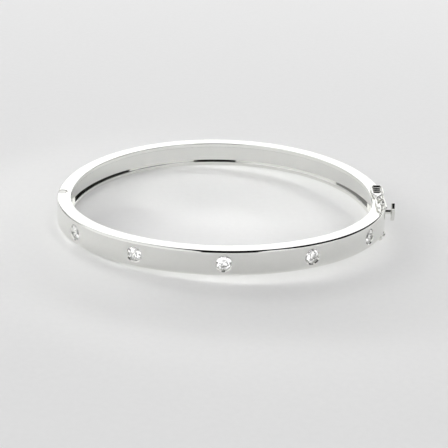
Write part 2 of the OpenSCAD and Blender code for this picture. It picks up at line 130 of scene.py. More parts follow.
def stations(step_deg):
    """Normal angles round the band: even steps, and the places where the arcs meet."""
    turns = {math.radians(a) for a in np.arange(0, 360, step_deg)}
    for q, flip in ((BACK, 1), (FRONT, -1)):
        for t in q["turns"]:
            turns |= {(flip * t) % math.tau, (flip * (math.pi - t)) % math.tau}
    ordered = sorted(turns)
    return [a for i, a in enumerate(ordered) if i == 0 or a - ordered[i - 1] > 1e-6]


# ---------- mesh helpers ----------

def new_object(name, bm):
    me = bpy.data.meshes.new(name)
    bm.to_mesh(me)
    bm.free()
    ob = bpy.data.objects.new(name, me)
    scene.collection.objects.link(ob)
    return ob


def ring_sweep(name, section, step_deg):
    """A closed ring: the section's (depth, height) points swept round the band."""
    bm = bmesh.new()
    rows = []
    for a in stations(step_deg):
        row = []
        for d, z in section:
            x, y = outline(a, d)
            row.append(bm.verts.new((x, y, z)))
        rows.append(row)
    n = len(section)
    for i, row in enumerate(rows):
        nxt = rows[(i + 1) % len(rows)]
        for j in range(n):
            bm.faces.new((row[j], nxt[j], nxt[(j + 1) % n], row[(j + 1) % n]))
    bmesh.ops.recalc_face_normals(bm, faces=bm.faces)
    return new_object(name, bm)


def prism(name, points, z0, z1):
    bm = bmesh.new()
    low = [bm.verts.new((x, y, z0)) for x, y in points]
    high = [bm.verts.new((x, y, z1)) for x, y in points]
    n = len(points)
    bm.faces.new(low[::-1])
    bm.faces.new(high)
    for i in range(n):
        bm.faces.new((low[i], low[(i + 1) % n], high[(i + 1) % n], high[i]))
    bmesh.ops.recalc_face_normals(bm, faces=bm.faces)
    return new_object(name, bm)


SEAM = 0.37     # turns a lathe's seam off the axes, by this part of a segment, for clean booleans


def lathe(name, profile, matrix, segments):
    """A closed solid: the profile's (radius, height) points turned about the matrix's Z.
    The profile starts and ends on the axis."""
    bm = bmesh.new()
    rings = []
    for r, h in profile:
        if r < 1e-9:
            rings.append([bm.verts.new((0, 0, h))])
        else:
            turn = [(i + SEAM) * math.tau / segments for i in range(segments)]
            rings.append([bm.verts.new((r * math.cos(t), r * math.sin(t), h)) for t in turn])
    for lower, upper in zip(rings, rings[1:]):
        for i in range(segments):
            j = (i + 1) % segments
            if len(lower) == 1:
                bm.faces.new((lower[0], upper[i], upper[j]))
            elif len(upper) == 1:
                bm.faces.new((lower[i], lower[j], upper[0]))
            else:
                bm.faces.new((lower[i], lower[j], upper[j], upper[i]))
    bmesh.ops.recalc_face_normals(bm, faces=bm.faces)
    bmesh.ops.transform(bm, matrix=matrix, verts=bm.verts)
    return new_object(name, bm)


def boolean(ob, operation, *cutters):
    """Cuts in millimetres: the solver drops faces of a mesh only a few hundredths across."""
    ob.data.transform(Matrix.Scale(1 / MM, 4))
    for cutter in cutters:
        cutter.data.transform(Matrix.Scale(1 / MM, 4))
        m = ob.modifiers.new("cut", "BOOLEAN")
        m.operation, m.solver, m.object = operation, "EXACT", cutter
        dg = bpy.context.evaluated_depsgraph_get()
        me = bpy.data.meshes.new_from_object(ob.evaluated_get(dg))
        ob.modifiers.clear()
        old, ob.data = ob.data, me
        me.name = ob.name
        bpy.data.meshes.remove(old)
        bpy.data.objects.remove(cutter)
    ob.data.transform(Matrix.Scale(MM, 4))
    return ob


def smooth(ob, angle_deg=32):
    me = ob.data
    me.polygons.foreach_set("use_smooth", np.ones(len(me.polygons), bool))
    me.set_sharp_from_angle(angle=math.radians(angle_deg))
    return ob


def band_normals(ob, rounded=True):
    """Exact normals on the swept faces of a band piece, so that its polish mirrors cleanly."""
    smooth(ob)
    me = ob.data
    loops, faces = len(me.loops), len(me.polygons)
    corner = np.zeros(loops * 3, np.float32)
    me.corner_normals.foreach_get("vector", corner)
    corner = corner.reshape(-1, 3).astype(float)
    co = np.zeros(len(me.vertices) * 3, np.float32)
    me.vertices.foreach_get("co", co)
    co = co.reshape(-1, 3).astype(float)
    vertex = np.zeros(loops, np.int32)
    me.loops.foreach_get("vertex_index", vertex)
    start, total = np.zeros(faces, np.int32), np.zeros(faces, np.int32)
    me.polygons.foreach_get("loop_start", start)
    me.polygons.foreach_get("loop_total", total)
    flat = np.zeros(faces * 3, np.float32)
    me.polygons.foreach_get("normal", flat)
    flat = flat.reshape(-1, 3).astype(float)
    centre = np.zeros(faces * 3, np.float32)
    me.polygons.foreach_get("center", centre)
    centre = centre.reshape(-1, 3).astype(float)

    fa, fd = locate(centre[:, 0], centre[:, 1])
    fz = np.abs(centre[:, 2])
    out = flat[:, 0] * np.cos(fa) + flat[:, 1] * np.sin(fa)
    along = -flat[:, 0] * np.sin(fa) + flat[:, 1] * np.cos(fa)
    swept = np.abs(along) < 0.05
    edge_z, tol = HALF_H - EDGE_R, 0.004 * MM
    kind = np.zeros(faces, int)                                   # 0 keeps the mesh's own normal
    kind[swept & (out > 0.999) & (np.abs(fd) < 3 * tol)] = 1      # facing outward
    kind[swept & (out < -0.999)] = 2                              # facing inward
    kind[swept & (np.abs(flat[:, 2]) > 0.9999)] = 3               # facing up or down
    if rounded:
        turned = swept & (kind == 0)
        kind[turned & (fz > edge_z) & (fd < EDGE_R)] = 4
        kind[turned & (fz > HALF_H - INNER_R) & (fd > BAND_T - INNER_R)] = 5
        kind[turned & (fz < CHANNEL_H + LIP_R) & (fd > BAND_T - LIP_R) & (fz > CHANNEL_H)] = 6
    k = np.repeat(kind, total)
    order = np.concatenate([np.arange(s, s + t) for s, t in zip(start, total)])
    loop_kind = np.zeros(loops, int)
    loop_kind[order] = k
    loop_flat = np.zeros((loops, 3))
    loop_flat[order] = np.repeat(flat, total, axis=0)
    p = co[vertex]
    a, d = locate(p[:, 0], p[:, 1])
    n = np.stack([np.cos(a), np.sin(a), np.zeros_like(a)], 1)
    up = np.sign(p[:, 2])
    result = corner.copy()
    result[loop_kind == 1] = n[loop_kind == 1]
    result[loop_kind == 2] = -n[loop_kind == 2]
    result[loop_kind == 3] = loop_flat[loop_kind == 3]
    for which, cd, cz, r in ((4, EDGE_R, edge_z, EDGE_R),
                             (5, BAND_T - INNER_R, HALF_H - INNER_R, INNER_R),
                             (6, BAND_T - LIP_R, CHANNEL_H + LIP_R, LIP_R)):
        m = loop_kind == which
        u, v = -(d - cd) / r, (np.abs(p[:, 2]) - cz) / r
        length = np.maximum(np.hypot(u, v), 1e-9)
        turned = (u / length)[:, None] * n
        turned[:, 2] = up * v / length
        result[m] = turned[m]
    me.normals_split_custom_set(result.tolist())
    return ob


# ---------- the band: two swept halves with an open channel on the wrist side ----------

def rounding(d, z, r, start, steps=6):
    """Points of a quarter circle about (d, z), from the start angle in degrees."""
    turns = [math.radians(start + i * 90 / steps) for i in range(steps + 1)]
    return [(d + r * math.cos(t), z + r * math.sin(t)) for t in turns]


def shell_section():
    inner, inner_edge, edge = BAND_T - INNER_R, HALF_H - INNER_R, HALF_H - EDGE_R
    walls = [i / WALL_STRIPS for i in range(1, WALL_STRIPS)]
    return (rounding(EDGE_R, -edge, EDGE_R, 180) + rounding(inner, -inner_edge, INNER_R, 270)
            + rounding(BAND_T - LIP_R, -CHANNEL_H - LIP_R, LIP_R, 0)
            + [(WALL_T, -CHANNEL_H), (WALL_T, CHANNEL_H)]
            + rounding(BAND_T - LIP_R, CHANNEL_H + LIP_R, LIP_R, 270)
            + rounding(inner, inner_edge, INNER_R, 0) + rounding(EDGE_R, edge, EDGE_R, 90)
            + [(0.0, edge * (1 - 2 * w)) for w in walls])


def zone(name, front):
    """The space of one half, on its side of the two joints."""
    far = 50 * MM
    clasp = front_zone_y[1] if front else back_zone_y[1]
    hinge = front_zone_y[0] if front else back_zone_y[0]
    end = -far if front else far
    corners = [(-far, end), (far, end), (far, clasp), (0, clasp), (0, hinge), (-far, hinge)]
    return prism(name, corners, -far, far)


def side_limit(node, left, top):
    """Highest or lowest y of a node on one side of the bracelet."""
    y = [v.co.y for v in nodes[node].data.vertices if (v.co.x < 0) == left]
    return max(y) if top else min(y)


front_zone_y = (side_limit("front_shell", True, True), side_limit("front_shell", False, True))
back_zone_y = (side_limit("back_shell", True, False), side_limit("back_shell", False, False))

pin_lo, pin_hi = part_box("hinge_pin")
HINGE = ((pin_lo.x + pin_hi.x) / 2, (pin_lo.y + pin_hi.y) / 2)
KNUCKLE_R = 0.85 * MM
KNUCKLE_CLEAR = 0.15 * MM                # room round the other half's knuckles
KNUCKLE_MID = 1.6 * MM                   # height of the middle knuckle
KNUCKLE_GAP = 0.05 * MM                  # between knuckles
RELIEF_TURN = 27                         # degrees of the notch outside the pin, to either side


def upright(x, y):
    return Matrix.Translation((x, y, 0))


def knuckle_cutters(outer, r):
    """Cylinders at the upper and lower knuckles, or at the middle one."""
    far = 20 * MM
    spans = ([(KNUCKLE_MID / 2, far), (-far, -KNUCKLE_MID / 2)] if outer
             else [(-KNUCKLE_MID / 2 - KNUCKLE_GAP, KNUCKLE_MID / 2 + KNUCKLE_GAP)])
    return [lathe("cutter", [(0, a), (r, a), (r, b), (0, b)], upright(*HINGE), 96)
            for a, b in spans]


def relief_cutter():
    """The wedge outside the pin that lets the halves turn."""
    far = 20 * MM
    reach = HINGE[0] + HALF_W + 1 * MM
    rise = reach * math.tan(math.radians(RELIEF_TURN))
    x, y = HINGE
    return prism("cutter", [(x, y), (x - reach, y + rise), (x - reach, y - rise)], -far, far)


def stone_axis(node):
    """Matrix whose origin is on the band's face over the stone and whose Z points outward."""
    co = np.array([v.co for v in nodes[node].data.vertices])
    x, y, z = co.mean(0)
    a = float(locate(np.array([x]), np.array([y]))[0][0])
    px, py = outline(a, 0)
    n = Vector((math.cos(a), math.sin(a), 0))
    side = Vector((0, 0, 1)).cross(n)
    return Matrix(((side.x, 0, n.x, px), (side.y, 0, n.y, py), (0, 1, 0, z), (0, 0, 0, 1)))


co = np.array([v.co for v in nodes["stone_centre"].data.vertices])
STONE_R = float((co[:, 0].max() - co[:, 0].min()) / 2)
SEAT_R = STONE_R + 0.02 * MM
SEAT_FLOOR = 0.562 * MM                  # depth where the seat narrows, under the girdle
SEAT_EDGE = 0.13 * MM                    # depth of the seat's bright-cut edge
CUT_R = SEAT_R + 0.16 * MM               # radius of that edge at the band's face
PAVILION = 40.75                         # degrees of the stone's lower facets


def seat_cutter(node):
    pav = STONE_R * math.tan(math.radians(PAVILION))
    top = 0.4 * MM
    slope = (CUT_R - SEAT_R) / SEAT_EDGE
    profile = [(0, -SEAT_FLOOR - pav), (SEAT_R, -SEAT_FLOOR), (SEAT_R, -SEAT_EDGE),
               (CUT_R + slope * top, top), (0, top)]
    return lathe("cutter", profile, stone_axis(node), 96)


front_band = ring_sweep("front_band", shell_section(), SWEEP_STEP)
boolean(front_band, "INTERSECT", zone("cutter", True))
boolean(front_band, "DIFFERENCE", *knuckle_cutters(True, KNUCKLE_R),
        *knuckle_cutters(False, KNUCKLE_R + KNUCKLE_CLEAR),
        relief_cutter(), *[seat_cutter(n) for n in STONES])
band_normals(front_band)
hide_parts("front_shell")
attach(front_band, "front_half")

tab_lo, tab_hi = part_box("thumb_tab")
TAB_Y = (tab_lo.y + tab_hi.y) / 2
PAD_R = (tab_hi.y - tab_lo.y) / 2
SLOT = 0.65 * MM                         # half the height of the tab's slot


def slot_cutter():
    """The slot for the tab's stem, open to the clasp's joint and round at its other end."""
    x0, x1 = HALF_W - BAND_T, HALF_W + 5 * MM
    y0 = back_zone_y[1] - 1 * MM
    points = [(y0, -SLOT), (TAB_Y, -SLOT)]
    turns = [math.radians(a) for a in range(-85, 90, 5)]
    points += [(TAB_Y + SLOT * math.cos(t), SLOT * math.sin(t)) for t in turns]
    points += [(TAB_Y, SLOT), (y0, SLOT)]
    ob = prism("cutter", points, x0, x1)
    ob.data.transform(UPRIGHT_TO_X)
    return ob


back_band = ring_sweep("back_band", shell_section(), SWEEP_STEP)
boolean(back_band, "INTERSECT", zone("cutter", False))
boolean(back_band, "DIFFERENCE", *knuckle_cutters(True, KNUCKLE_R + KNUCKLE_CLEAR),
        *knuckle_cutters(False, KNUCKLE_R), relief_cutter(), slot_cutter())
band_normals(back_band)
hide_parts("back_shell")
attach(back_band, "back_half")


def skin(name, front, body, node):
    strips = 8
    section = [(LINER_D0, -CHANNEL_H), (LINER_D1, -CHANNEL_H)]
    section += [(LINER_D1, CHANNEL_H * (2 * i / strips - 1)) for i in range(1, strips)]
    section += [(LINER_D1, CHANNEL_H), (LINER_D0, CHANNEL_H)]
    ob = ring_sweep(name, section, SWEEP_STEP)
    boolean(ob, "INTERSECT", zone("cutter", front))
    band_normals(ob, rounded=False)
    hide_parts(node)
    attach(ob, body)
    return ob


front_skin = skin("front_skin", True, "front_half", "front_liner")
back_skin = skin("back_skin", False, "back_half", "back_liner")


# ---------- safety catches ----------

WIRE_R = 0.22 * MM
tube_lo, tube_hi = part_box("upper_catch_tube")
stud_lo, stud_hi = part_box("upper_catch_stud")
CATCH_X = (tube_lo.x + tube_hi.x) / 2
PIVOT_Y = (tube_lo.y + tube_hi.y) / 2
TUBE_R = (tube_hi.y - tube_lo.y) / 2
TUBE_L = tube_hi.x - tube_lo.x
WIRE_Z = tube_hi.z - TUBE_R
STUD_Y = (stud_lo.y + stud_hi.y) / 2
BALL_R = (stud_hi.x - stud_lo.x) / 2
BALL_Z = stud_hi.z - BALL_R
LOOP_L = PIVOT_Y - STUD_Y
TUBE_BEND = 0.3 * MM                     # bend where the wire leaves the tube
LEG_W = TUBE_L / 2 + TUBE_BEND
LOOP_W = 0.84 * MM                       # radius of the loop round the stud
WAIST_R = 1.5 * MM                       # bends of the waist, where the wires cross
WAIST_RATIO = 0.75                       # how steeply they cross: side to length
WAIST_SLOPE = math.atan(WAIST_RATIO)
WAIST_BENDS = 2 * WAIST_R * (1 - math.cos(WAIST_SLOPE))
WAIST_L = 2 * WAIST_R * math.sin(WAIST_SLOPE) + (LEG_W + LOOP_W - WAIST_BENDS) / WAIST_RATIO
LEG_L = (LOOP_L - WAIST_L) / 2
# the slit in the loop's tip lies on the stud's path about the band's hinge
SLIT_TURN = math.atan2(HINGE[1] - STUD_Y, CATCH_X - HINGE[0])
SLIT_HALF = math.asin((2 * WIRE_R + 0.1 * MM) / LOOP_W)


def arc_points(cx, cy, r, start, turn, steps):
    turns = [start + turn * i / steps for i in range(steps + 1)]
    return [(cx + r * math.cos(t), cy + r * math.sin(t)) for t in turns]


def wire_path(tip_half):
    """Centre line of one of the catch's two wires, from the tube's axis to the loop's tip."""
    a = WAIST_SLOPE
    pts = [(0.0, 0.0), (TUBE_L / 2, 0.0)]
    pts += arc_points(TUBE_L / 2, -TUBE_BEND, TUBE_BEND, math.pi / 2, -math.pi / 2, 8)[1:]
    pts += [(LEG_W, -TUBE_BEND - (LEG_L - TUBE_BEND) * i / 4) for i in range(1, 5)]
    pts += arc_points(LEG_W - WAIST_R, -LEG_L, WAIST_R, 0, -a, 8)[1:]
    end = arc_points(WAIST_R - LOOP_W, LEG_L - LOOP_L, WAIST_R, math.pi - a, a, 8)
    (x0, y0), (x1, y1) = pts[-1], end[0]
    pts += [(x0 + (x1 - x0) * i / 8, y0 + (y1 - y0) * i / 8) for i in range(1, 8)]
    pts += end
    pts += [(-LOOP_W, LEG_L - LOOP_L - LEG_L * i / 4) for i in range(1, 5)]
    pts += arc_points(0, -LOOP_L, LOOP_W, math.pi, math.pi / 2 - tip_half, 20)[1:]
    return pts


def crossing_lift(y):
    """1 where the two wires cross, fading out along the waist."""
    t = abs(y + LOOP_L / 2) / (WAIST_L / 2 + 0.6 * MM)
    return (1 - t * t) ** 2 if t < 1 else 0.0


def tube(bm, points, radius, segments=20):
    """A round wire along 3-D points, with domed ends."""
    pts = [Vector(p) for p in points]
    first, last = (pts[0] - pts[1]).normalized(), (pts[-1] - pts[-2]).normalized()
    # (width, height) on a unit ball
    dome = [(0.98, 0.2), (0.92, 0.39), (0.71, 0.71), (0.38, 0.92)]
    spots = [(pts[0] + first * radius * h * 0.5, radius * w) for w, h in reversed(dome)]
    spots += [(p, radius) for p in pts]
    spots += [(pts[-1] + last * radius * h * 0.5, radius * w) for w, h in dome]
    up = Vector((0, 0, 1))
    rings = []
    for i, (p, r) in enumerate(spots):
        q0, q1 = spots[max(i - 1, 0)][0], spots[min(i + 1, len(spots) - 1)][0]
        t = (q1 - q0).normalized()
        side = t.cross(up).normalized()
        lift = side.cross(t)
        turns = [k * math.tau / segments for k in range(segments)]
        rings.append([bm.verts.new(p + side * r * math.cos(a) + lift * r * math.sin(a))
                      for a in turns])
    for r0, r1 in zip(rings, rings[1:]):
        for k in range(segments):
            bm.faces.new((r0[k], r0[(k + 1) % segments], r1[(k + 1) % segments], r1[k]))
    bm.faces.new(rings[0][::-1])
    bm.faces.new(rings[-1])


def catch(name, node, body, up):
    """The figure-eight catch: two wires, one over the other at the waist."""
    bm = bmesh.new()
    over, under = 0.2 * MM, -0.12 * MM
    for flip, tip, rise in ((1, SLIT_HALF + SLIT_TURN, over), (-1, SLIT_HALF - SLIT_TURN, under)):
        line = [(CATCH_X + flip * x, PIVOT_Y + y, WIRE_Z + rise * crossing_lift(y))
                for x, y in wire_path(tip)]
        tube(bm, line, WIRE_R)
    bmesh.ops.recalc_face_normals(bm, faces=bm.faces)
    if not up:
        bmesh.ops.scale(bm, vec=(1, 1, -1), verts=bm.verts)
        bmesh.ops.reverse_faces(bm, faces=bm.faces)
    ob = smooth(new_object(name, bm), 50)
    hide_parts(node)
    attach(ob, body)
    return ob


def flip_down(ob):
    ob.data.transform(Matrix.Scale(-1, 4, (0, 0, 1)))
    ob.data.flip_normals()
    return ob


def stud(name, node, up):
    """The ball-ended post, with a small fillet at its foot."""
    post, fillet, r = 0.22 * MM, 0.1 * MM, BALL_R
    z0, neck = HALF_H, math.sqrt(BALL_R ** 2 - post ** 2)
    profile = [(0, z0 - fillet), (post + fillet, z0 - fillet), (post + fillet, z0)]
    profile += [(post + fillet * (1 - math.sin(t)), z0 + fillet * (1 - math.cos(t)))
                for t in np.linspace(0, math.pi / 2, 6)[1:]]
    profile += [(post, BALL_Z - neck)]
    a0 = math.degrees(math.atan2(-neck, post))
    turns = [math.radians(a) for a in np.linspace(a0, 88, 28)[1:]]
    profile += [(r * math.cos(t), BALL_Z + r * math.sin(t)) for t in turns]
    profile += [(0, BALL_Z + r)]
    ob = lathe(name, profile, upright(CATCH_X, STUD_Y), 48)
    if not up:
        flip_down(ob)
    smooth(ob, 50)
    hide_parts(node)
    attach(ob, "front_half")
    return ob


def catch_tube(name, node, up):
    bore, bevel, half = WIRE_R + 0.05 * MM, 0.06 * MM, TUBE_L / 2
    bm = bmesh.new()
    ring = [(bore, -half), (TUBE_R - bevel, -half), (TUBE_R, -half + bevel), (TUBE_R, half - bevel),
            (TUBE_R - bevel, half), (bore, half)]
    seg = 48
    rows = [[bm.verts.new((h, r * math.cos(t), r * math.sin(t))) for r, h in ring]
            for t in (i * math.tau / seg for i in range(seg))]
    for i in range(seg):
        for j in range(len(ring)):
            k = (j + 1) % len(ring)
            bm.faces.new((rows[i][j], rows[(i + 1) % seg][j], rows[(i + 1) % seg][k], rows[i][k]))
    bmesh.ops.recalc_face_normals(bm, faces=bm.faces)
    # the solder fillet that seats the tube on the band's edge
    w, seat = TUBE_R * 1.15, HALF_H - WIRE_Z
    side = [(w, seat - 0.05 * MM), (w, seat + 0.02 * MM), (TUBE_R * 0.86, -TUBE_R * 0.62),
            (TUBE_R * 0.8, -TUBE_R * 0.3)]
    foot = [(-y, z) for y, z in side] + side[::-1]
    ob = new_object(name, bm)
    base = prism("foot", foot, -half + bevel, half - bevel)
    base.data.transform(UPRIGHT_TO_X)
    room, far = bore + 0.05 * MM, half * 2
    cutter = lathe("cutter", [(0, -far), (room, -far), (room, far), (0, far)], AXIS_TO_X, seg)
    boolean(base, "DIFFERENCE", cutter)
    boolean(ob, "UNION", base)
    ob.data.transform(Matrix.Translation((CATCH_X, PIVOT_Y, WIRE_Z)))
    if not up:
        flip_down(ob)
    smooth(ob, 35)
    # slot 0 is the tube, slot 1 the solder round it
    for _ in range(2):
        ob.data.materials.append(None)
    for face in ob.data.polygons:
        reach = math.hypot(face.center.y - PIVOT_Y, abs(face.center.z) - WIRE_Z)
        face.material_index = int(reach > TUBE_R * 1.01)
    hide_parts(node)
    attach(ob, "back_half")
    return ob


fittings = [
    catch("upper_wire", "upper_catch", "upper_safety", True),
    catch("lower_wire", "lower_catch", "lower_safety", False),
    stud("upper_ball", "upper_catch_stud", True),
    stud("lower_ball", "lower_catch_stud", False),
    catch_tube("upper_barrel", "upper_catch_tube", True),
    catch_tube("lower_barrel", "lower_catch_tube", False),
]


# ---------- thumb tab ----------

def thumb_tab():
    """The oval pad, turned as a unit circle and stretched, on its round stem."""
    pad_t, rim = 0.7 * MM, 0.12 * MM
    x1 = tab_hi.x
    turns = np.linspace(0, math.pi / 2, 7)
    profile = [(0, -pad_t)]
    profile += [(1 - rim / PAD_R * (1 - math.sin(t)), -pad_t + rim * (1 - math.cos(t)))
                for t in turns]
    profile += [(1 - rim / PAD_R * (1 - math.cos(t)), rim * (math.sin(t) - 1)) for t in turns]
    profile += [(0, 0)]
    stretch = Matrix.Diagonal((tab_hi.z, PAD_R, 1, 1))
    ob = lathe("press_tab", profile, Matrix.Translation((x1, TAB_Y, 0)) @ AXIS_TO_X @ stretch, 96)
    stem_r, bevel, fillet = 0.45 * MM, 0.05 * MM, 0.12 * MM
    back, inside = x1 - pad_t, x1 - pad_t / 2
    profile = [(0, tab_lo.x), (stem_r - bevel, tab_lo.x), (stem_r, tab_lo.x + bevel),
               (stem_r, back - fillet)]
    profile += [(stem_r + fillet * (1 - math.cos(t)), back - fillet * (1 - math.sin(t)))
                for t in np.linspace(0, math.pi / 2, 6)[1:]]
    profile += [(stem_r + fillet, inside), (0, inside)]
    stem = lathe("stem", profile, Matrix.Translation((0, TAB_Y, 0)) @ AXIS_TO_X, 48)
    boolean(ob, "UNION", stem)
    smooth(ob, 40)
    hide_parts("thumb_tab")
    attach(ob, "thumb_press")
    return ob


fittings.append(thumb_tab())


# ---------- materials ----------

def material(name):
    m = bpy.data.materials.new(name)
    m.use_nodes = True
    nt = m.node_tree
    return m, nt, nt.nodes["Principled BSDF"]


def link(nt, a, b):
    nt.links.new(a, b)


def noise(nt, coords, scale, stretch=(1, 1, 1), detail=3, rough=0.5):
    mapping = nt.nodes.new("ShaderNodeMapping")
    mapping.inputs["Scale"].default_value = stretch
    tex = nt.nodes.new("ShaderNodeTexNoise")
    tex.inputs["Scale"].default_value = scale
    tex.inputs["Detail"].default_value = detail
    tex.inputs["Roughness"].default_value = rough
    link(nt, coords, mapping.inputs["Vector"])
    link(nt, mapping.outputs["Vector"], tex.inputs["Vector"])
    return tex.outputs["Fac"]


def remap(nt, value, lo, hi, to_lo, to_hi):
    n = nt.nodes.new("ShaderNodeMapRange")
    for key, v in (("From Min", lo), ("From Max", hi), ("To Min", to_lo), ("To Max", to_hi)):
        n.inputs[key].default_value = v
    link(nt, value, n.inputs["Value"])
    return n.outputs["Result"]


def math_node(nt, op, a, b):
    n = nt.nodes.new("ShaderNodeMath")
    n.operation = op
    for socket, v in zip(n.inputs, (a, b)):
        if isinstance(v, (int, float)):
            socket.default_value = v
        else:
            link(nt, v, socket)
    return n.outputs["Value"]


def ramp(nt, value, stops):
    n = nt.nodes.new("ShaderNodeValToRGB")
    e = n.color_ramp.elements
    e[0].position, e[0].color = stops[0]
    e[1].position, e[1].color = stops[-1]
    for pos, col in stops[1:-1]:
        x = e.new(pos)
        x.color = col
    link(nt, value, n.inputs["Fac"])
    return n.outputs["Color"]


def polished(name, light, dark, rough, mark, grain):
    """Polished white metal: faint buffing lines, hairline scratches and cloudy colour."""
    m, nt, bsdf = material(name)
    coords = nt.nodes.new("ShaderNodeTexCoord").outputs["Object"]
    cloud = noise(nt, coords, 220, detail=4)
    lines = noise(nt, coords, 900, stretch=(0.25, 0.25, grain), detail=5, rough=0.65)
    hair = noise(nt, coords, 2600, stretch=(1, 1, 0.12), detail=2, rough=0.4)
    scratch = remap(nt, hair, 0.64, 0.72, 0, 1)
    link(nt, ramp(nt, cloud, [(0.3, dark), (0.7, light)]), bsdf.inputs["Base Color"])
    buffed = remap(nt, lines, 0.3, 0.7, rough * 0.6, rough * 1.4)
    scratched = math_node(nt, "MULTIPLY", scratch, mark)
    link(nt, math_node(nt, "ADD", buffed, scratched), bsdf.inputs["Roughness"])
    bump = nt.nodes.new("ShaderNodeBump")
    bump.inputs["Strength"].default_value = 0.12
    bump.inputs["Distance"].default_value = 0.002 * MM
    grooves = math_node(nt, "MULTIPLY", scratch, 0.5)
    link(nt, math_node(nt, "SUBTRACT", lines, grooves), bump.inputs["Height"])
    link(nt, bump.outputs["Normal"], bsdf.inputs["Normal"])
    bsdf.inputs["Metallic"].default_value = 1
    return m


def colour(r, g, b):
    return (r, g, b, 1)


band_metal = polished("band_metal", colour(0.86, 0.86, 0.835), colour(0.835, 0.838, 0.81),
                      rough=0.035, mark=0.08, grain=3.0)
skin_metal = polished("skin_metal", colour(0.81, 0.81, 0.785), colour(0.78, 0.783, 0.76),
                      rough=0.06, mark=0.10, grain=5.0)
fitting_metal = polished("fitting_metal", colour(0.80, 0.80, 0.775), colour(0.77, 0.77, 0.745),
                         rough=0.05, mark=0.10, grain=1.0)


def satin(name, base):
    """Drawn or filed metal: fine lines and a soft sheen."""
    m, nt, bsdf = material(name)
    coords = nt.nodes.new("ShaderNodeTexCoord").outputs["Object"]
    lines = noise(nt, coords, 1400, stretch=(1, 0.15, 4), detail=5, rough=0.6)
    cloud = noise(nt, coords, 300, detail=3)
    darker = tuple(0.9 * c for c in base[:3]) + (1,)
    link(nt, ramp(nt, cloud, [(0.3, darker), (0.7, base)]), bsdf.inputs["Base Color"])
    link(nt, remap(nt, lines, 0.3, 0.7, 0.22, 0.38), bsdf.inputs["Roughness"])
    bump = nt.nodes.new("ShaderNodeBump")
    bump.inputs["Strength"].default_value = 0.3
    bump.inputs["Distance"].default_value = 0.01 * MM
    link(nt, lines, bump.inputs["Height"])
    link(nt, bump.outputs["Normal"], bsdf.inputs["Normal"])
    bsdf.inputs["Metallic"].default_value = 1
    return m


spring_metal = satin("spring_metal", colour(0.62, 0.61, 0.58))
hinge_metal = satin("hinge_metal", colour(0.72, 0.715, 0.69))
solder_metal = satin("solder_metal", colour(0.86, 0.86, 0.84))


def stone_glass():
    m, nt, bsdf = material("stone_glass")
    coords = nt.nodes.new("ShaderNodeTexCoord").outputs["Object"]
    veil = noise(nt, coords, 1800, detail=2)
    tint = ramp(nt, veil, [(0.35, colour(0.985, 0.985, 0.98)), (0.7, colour(1, 1, 1))])
    link(nt, tint, bsdf.inputs["Base Color"])
    link(nt, remap(nt, veil, 0.3, 0.7, 0.0, 0.012), bsdf.inputs["Roughness"])
    bsdf.inputs["IOR"].default_value = 2.2
    bsdf.inputs["Transmission Weight"].default_value = 1
    return m


glass = stone_glass()


def dress(ob, *materials):
    while len(ob.data.materials) < len(materials):
        ob.data.materials.append(None)
    for i, m in enumerate(materials):
        ob.data.materials[i] = m


for ob in (front_band, back_band):
    dress(ob, band_metal)
for ob in (front_skin, back_skin):
    dress(ob, skin_metal)
for ob in fittings:
    dress(ob, fitting_metal, *([solder_metal] if "barrel" in ob.name else []))


def dress_node(node, m):
    ob = nodes[node]
    for s in ob.material_slots:
        s.material = m
    if not ob.material_slots:
        ob.data.materials.append(m)


for n in STONES:
    dress_node(n, glass)
for n in ("hinge_leaf_back", "hinge_leaf_front", "hinge_pin"):
    dress_node(n, hinge_metal)
for n in ("clasp_box", "tongue_block", "tongue", "spring_leaf"):
    dress_node(n, spring_metal)


# ---------- floor, light and camera ----------

def floor_plane():
    """The floor under the bracelet, which stands on the lower stud's ball and on the bottom edge
    across from it."""
    ball = Vector((CATCH_X, STUD_Y, -BALL_Z))
    across = math.atan2(-STUD_Y, -CATCH_X)
    opposite = across + math.pi
    edge = min((Vector((*outline(a, EDGE_R), -HALF_H)) for a in stations(1)),
               key=lambda p: p.x * math.cos(opposite) + p.y * math.sin(opposite))
    rise = (edge.z - (ball.z - BALL_R)) / (ball - edge).to_2d().length
    n = Vector((-math.cos(across) * rise, -math.sin(across) * rise, 1)).normalized()
    foot = ball - n * BALL_R
    bm = bmesh.new()
    bmesh.ops.create_grid(bm, x_segments=8, y_segments=8, size=3.0)
    ob = new_object("studio_floor", bm)
    z = Vector((0, 0, 1))
    ob.matrix_world = Matrix.Translation(foot) @ z.rotation_difference(n).to_matrix().to_4x4()
    m, nt, bsdf = material("floor_paper")
    coords = nt.nodes.new("ShaderNodeTexCoord").outputs["Object"]
    fibre = noise(nt, coords, 900, detail=4)
    paper = ramp(nt, fibre, [(0.3, colour(0.80, 0.80, 0.80)), (0.7, colour(0.815, 0.815, 0.815))])
    link(nt, paper, bsdf.inputs["Base Color"])
    bsdf.inputs["Roughness"].default_value = 0.9
    bsdf.inputs["Specular IOR Level"].default_value = 0.1
    ob.data.materials.append(m)
    return ob


floor_plane()


def direction(azimuth, elevation, over=False):
    """Unit vector to a place in the studio, in degrees. Azimuth 0 is the stones' side, 90 the
    clasp's. With over, elevation runs from the stones' side up over the top, and azimuth is the
    angle to the side."""
    a, e = math.radians(azimuth), math.radians(elevation)
    if over:
        return Vector((math.sin(a), -math.cos(a) * math.cos(e), math.cos(a) * math.sin(e)))
    return Vector((math.sin(a) * math.cos(e), -math.cos(a) * math.cos(e), math.sin(e)))


